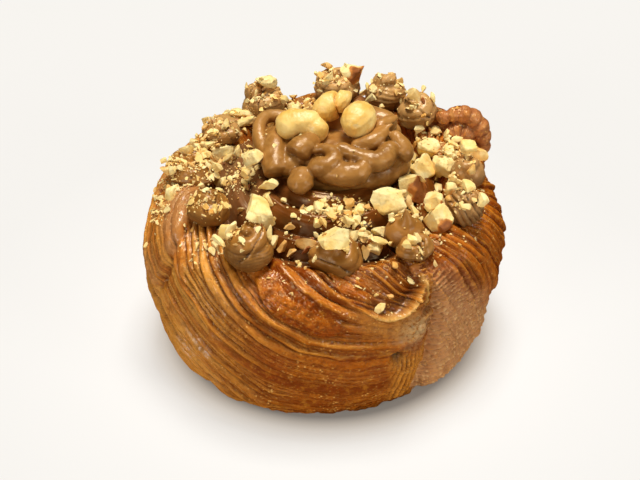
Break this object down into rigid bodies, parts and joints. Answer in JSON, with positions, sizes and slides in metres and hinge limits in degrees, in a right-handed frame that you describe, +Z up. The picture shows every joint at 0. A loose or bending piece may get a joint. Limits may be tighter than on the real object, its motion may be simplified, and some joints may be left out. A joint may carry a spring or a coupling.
{
  "type": "cruffin",
  "caption": "Round coiled pastry with a twisted flaky crust, a hollow top filled with nut spread, a piped cream crown, whole kernels, and cream dollops with chopped nuts on the rim.",
  "frame": {"origin": "centre of the flat foot the pastry stands on", "axes": "+Z up through the coil, -Y towards the front with the tucked dough end, +X to its right"},
  "size_m": [0.1039, 0.1024, 0.0747],
  "materials": {
    "crust": "baked, satin",
    "spread": "glossy",
    "cream": "satin",
    "nut": "dry, satin"
  },
  "bodies": {
    "root": {"dollop_01": "cream", "dollop_02": "cream", "dollop_03": "cream", "dollop_04": "cream", "dollop_05": "cream", "dollop_06": "cream", "dollop_07": "cream", "dollop_08": "cream", "dollop_09": "cream", "dollop_10": "cream", "dollop_11": "cream", "dollop_12": "cream", "dollop_13": "cream", "kernel_crescent": "nut", "kernel_round": "nut", "kernel_split": "nut", "nut_chunk_01": "nut", "nut_chunk_02": "nut", "nut_chunk_03": "nut", "nut_chunk_04": "nut", "nut_chunk_05": "nut", "nut_chunk_06": "nut", "nut_chunk_07": "nut", "nut_chunk_08": "nut", "nut_chunk_09": "nut", "nut_chunk_10": "nut", "nut_chunk_11": "nut", "nut_chunk_12": "nut", "nut_chunk_13": "nut", "nut_chunk_14": "nut", "nut_chunk_15": "nut", "nut_chunk_16": "nut", "nut_chunk_17": "nut", "nut_chunk_18": "nut", "nut_chunk_19": "nut", "nut_chunk_20": "nut", "nut_chunk_21": "nut", "nut_chunk_22": "nut", "pastry": "crust", "piped_crown": "cream", "spread_coil": "spread"}
  },
  "joints": []
}
